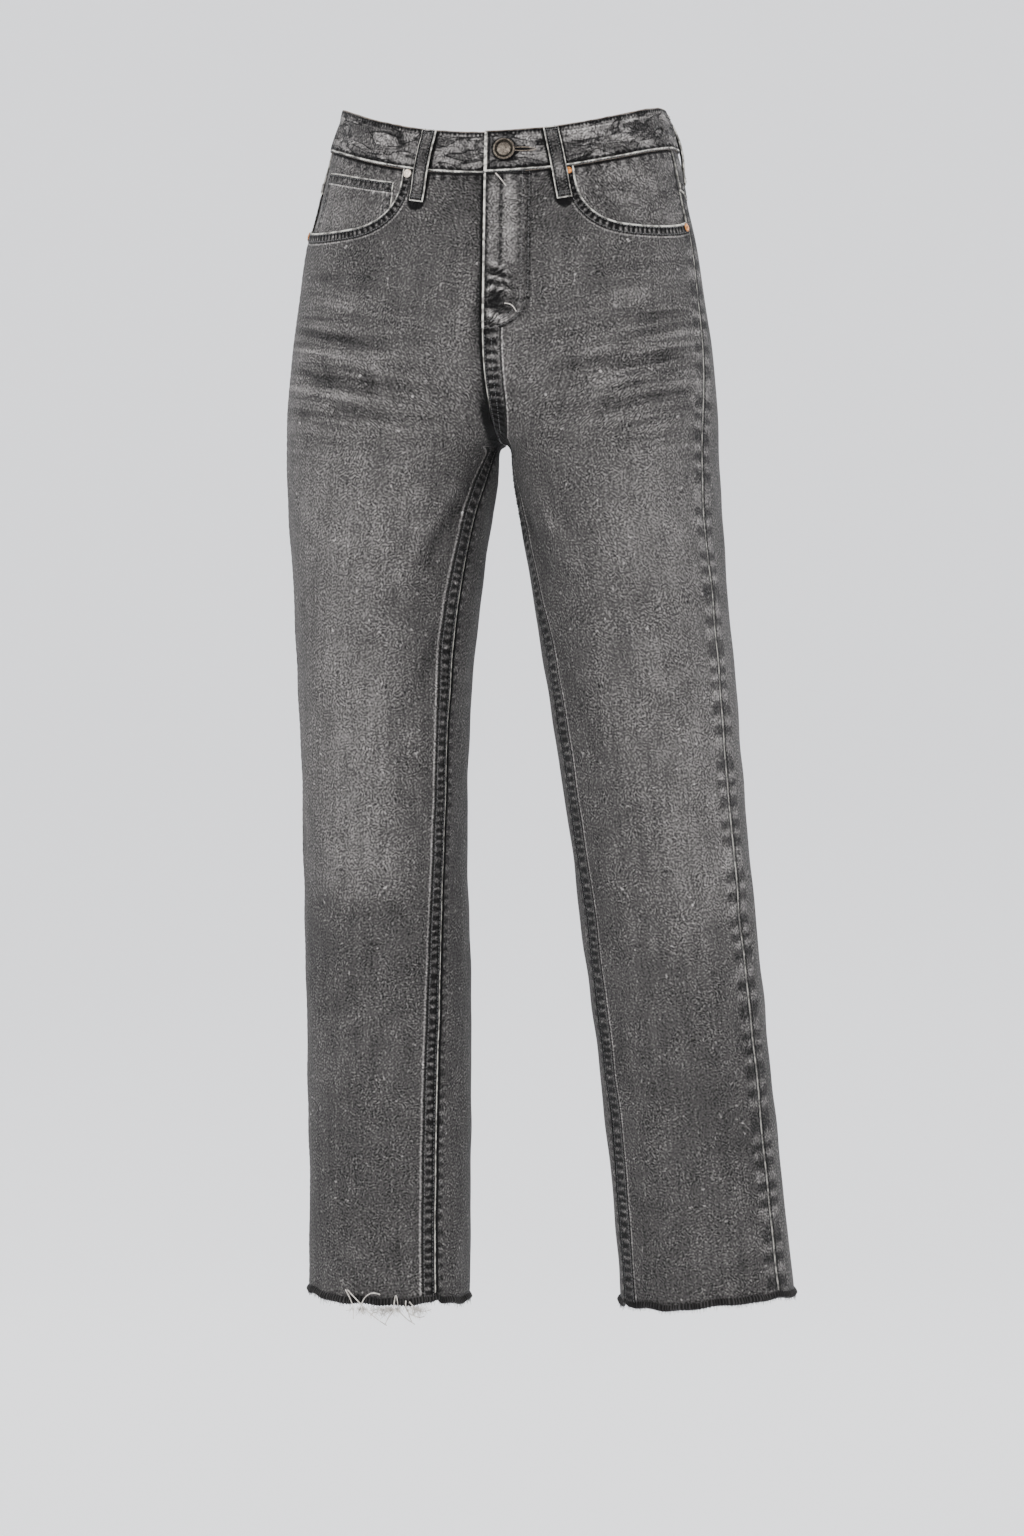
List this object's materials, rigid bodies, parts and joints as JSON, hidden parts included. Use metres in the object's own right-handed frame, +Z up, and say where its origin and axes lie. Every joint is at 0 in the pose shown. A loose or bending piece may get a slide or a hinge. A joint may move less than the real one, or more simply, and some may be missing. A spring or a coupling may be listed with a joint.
{
  "type": "straight-leg jeans",
  "caption": "Straight-leg five-pocket jeans with a buttoned fly front, yoke, belt loops and raw frayed hems, held open in worn form.",
  "frame": {"origin": "middle of the waist opening, where the waist holds the garment", "axes": "+Z up along the body, -Y out of the garment's front, +X towards the wearer's left"},
  "size_m": [0.4338, 0.2375, 1.0253],
  "materials": {
    "denim": "washed grey-black twill, faded over the thighs",
    "raw_yarn": "frayed cut edge, dark with pale loose yarns",
    "aged_metal": "aged nickel, satin",
    "copper": "worn copper, satin"
  },
  "bodies": {
    "root": {"front_left": "denim", "back_left": "denim", "yoke_left": "denim", "pocket_facing_left": "denim", "back_pocket_left": "denim", "hem_fringe_left": "raw_yarn", "front_right": "denim", "back_right": "denim", "yoke_right": "denim", "pocket_facing_right": "denim", "back_pocket_right": "denim", "hem_fringe_right": "raw_yarn", "coin_pocket": "denim", "fly": "denim", "waistband": "denim", "button": "aged_metal", "rivet_inner_left": "copper", "rivet_inner_right": "copper", "rivet_outer_left": "copper", "rivet_outer_right": "copper", "belt_loop_front_left": "denim", "belt_loop_front_right": "denim", "belt_loop_side_left": "denim", "belt_loop_side_right": "denim", "belt_loop_back": "denim"}
  },
  "joints": []
}
